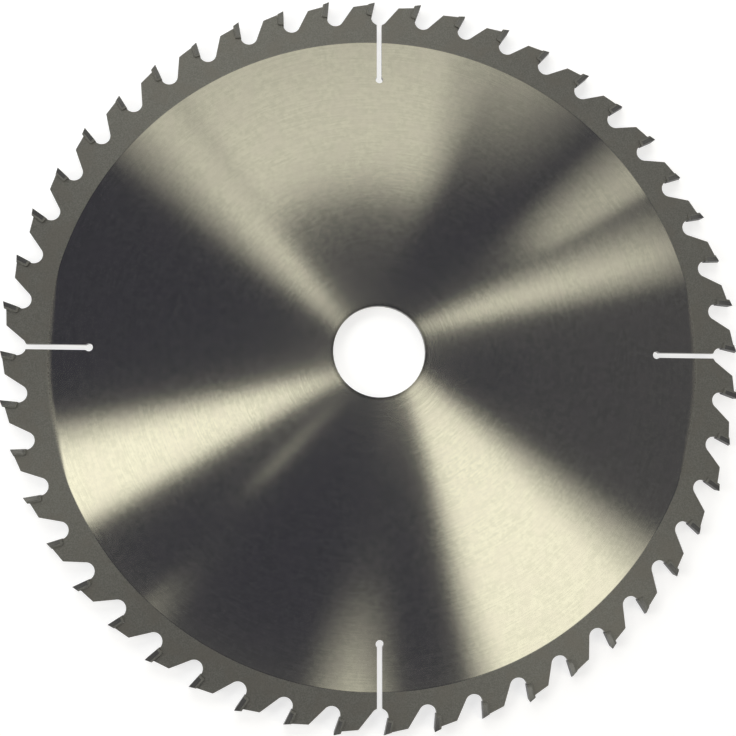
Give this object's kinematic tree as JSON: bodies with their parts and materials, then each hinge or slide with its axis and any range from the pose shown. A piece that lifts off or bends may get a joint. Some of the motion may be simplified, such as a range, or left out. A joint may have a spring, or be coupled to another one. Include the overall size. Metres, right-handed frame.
{
  "type": "circular saw blade",
  "caption": "Flat steel circular saw blade with brazed carbide tips, rounded gullets, radial expansion slots and a central arbor bore.",
  "frame": {"origin": "centre of the arbor bore, on the plate's mid plane", "axes": "+Z along the bore axis, out of the face that the picture shows; +Y along the centre line of one slotted gullet, up in the picture"},
  "size_m": [0.24, 0.24, 0.0028],
  "materials": {
    "ground_steel": "ground in circles, with a blasted rim",
    "carbide": "ground, matt"
  },
  "bodies": {
    "root": {"blade_plate": "ground_steel", "carbide_tip_01": "carbide", "carbide_tip_02": "carbide", "carbide_tip_03": "carbide", "carbide_tip_04": "carbide", "carbide_tip_05": "carbide", "carbide_tip_06": "carbide", "carbide_tip_07": "carbide", "carbide_tip_08": "carbide", "carbide_tip_09": "carbide", "carbide_tip_10": "carbide", "carbide_tip_11": "carbide", "carbide_tip_12": "carbide", "carbide_tip_13": "carbide", "carbide_tip_14": "carbide", "carbide_tip_15": "carbide", "carbide_tip_16": "carbide", "carbide_tip_17": "carbide", "carbide_tip_18": "carbide", "carbide_tip_19": "carbide", "carbide_tip_20": "carbide", "carbide_tip_21": "carbide", "carbide_tip_22": "carbide", "carbide_tip_23": "carbide", "carbide_tip_24": "carbide", "carbide_tip_25": "carbide", "carbide_tip_26": "carbide", "carbide_tip_27": "carbide", "carbide_tip_28": "carbide", "carbide_tip_29": "carbide", "carbide_tip_30": "carbide", "carbide_tip_31": "carbide", "carbide_tip_32": "carbide", "carbide_tip_33": "carbide", "carbide_tip_34": "carbide", "carbide_tip_35": "carbide", "carbide_tip_36": "carbide", "carbide_tip_37": "carbide", "carbide_tip_38": "carbide", "carbide_tip_39": "carbide", "carbide_tip_40": "carbide", "carbide_tip_41": "carbide", "carbide_tip_42": "carbide", "carbide_tip_43": "carbide", "carbide_tip_44": "carbide", "carbide_tip_45": "carbide", "carbide_tip_46": "carbide", "carbide_tip_47": "carbide", "carbide_tip_48": "carbide"}
  },
  "joints": []
}
